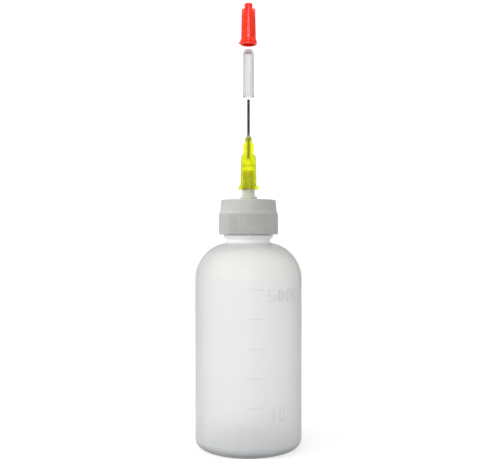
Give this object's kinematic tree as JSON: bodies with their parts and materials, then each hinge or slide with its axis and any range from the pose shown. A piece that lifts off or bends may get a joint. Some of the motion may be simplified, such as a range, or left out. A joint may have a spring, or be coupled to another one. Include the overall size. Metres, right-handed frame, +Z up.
{
  "type": "glue applicator bottle",
  "caption": "Frosted plastic squeeze bottle with a knurled screw cap, a spout with a blunt dispensing needle, a clear needle sheath and a red tip cap, laid out along its axis.",
  "frame": {"origin": "centre of the bottle's foot, on the surface it stands on", "axes": "+Z up along the bottle's axis, which every piece shares; -Y is the front, and the scale marks are to the right of it, towards +X"},
  "size_m": [0.0372, 0.0374, 0.155],
  "materials": {
    "bottle_ldpe": "frosted, translucent natural polyethylene",
    "cap_plastic": "satin, faintly translucent light grey plastic",
    "spout_plastic": "satin, translucent natural plastic",
    "hub_yellow": "glossy, translucent yellow polypropylene",
    "needle_steel": "drawn stainless tube",
    "adhesive": "cured clear adhesive",
    "sheath_clear": "clear, thin-walled plastic",
    "tip_cap_red": "glossy red plastic"
  },
  "bodies": {
    "bottle": {"bottle": "bottle_ldpe"},
    "spout": {"spout": "spout_plastic"},
    "screw_cap": {"screw_cap": "cap_plastic"},
    "needle": {"needle_hub": "hub_yellow", "cannula": "needle_steel", "adhesive_bead": "adhesive"},
    "needle_sheath": {"needle_sheath": "sheath_clear"},
    "tip_cap": {"tip_cap": "tip_cap_red"}
  },
  "joints": [
    {"name": "cap_lift", "type": "slide", "parent": "bottle", "child": "spout", "axis": [0, 0, 1], "range_m": [0, 0.0112]},
    {"name": "cap_turn", "type": "hinge", "parent": "spout", "child": "screw_cap", "pos_m": [0, 0, 0.08], "axis": [0, 0, 1], "range_deg": [0, 1260]},
    {"name": "needle_pull", "type": "slide", "parent": "spout", "child": "needle", "axis": [0, 0, 1], "range_m": [0, 0.012]},
    {"name": "sheath_slide", "type": "slide", "parent": "needle", "child": "needle_sheath", "axis": [0, 0, 1], "range_m": [-0.01645, 0]},
    {"name": "tip_cap_slide", "type": "slide", "parent": "needle_sheath", "child": "tip_cap", "axis": [0, 0, 1], "range_m": [-0.0105, 0]}
  ],
  "couplings": [
    {"joint": "cap_lift", "follows": "cap_turn", "m_per_rad": 0.00050532}
  ]
}
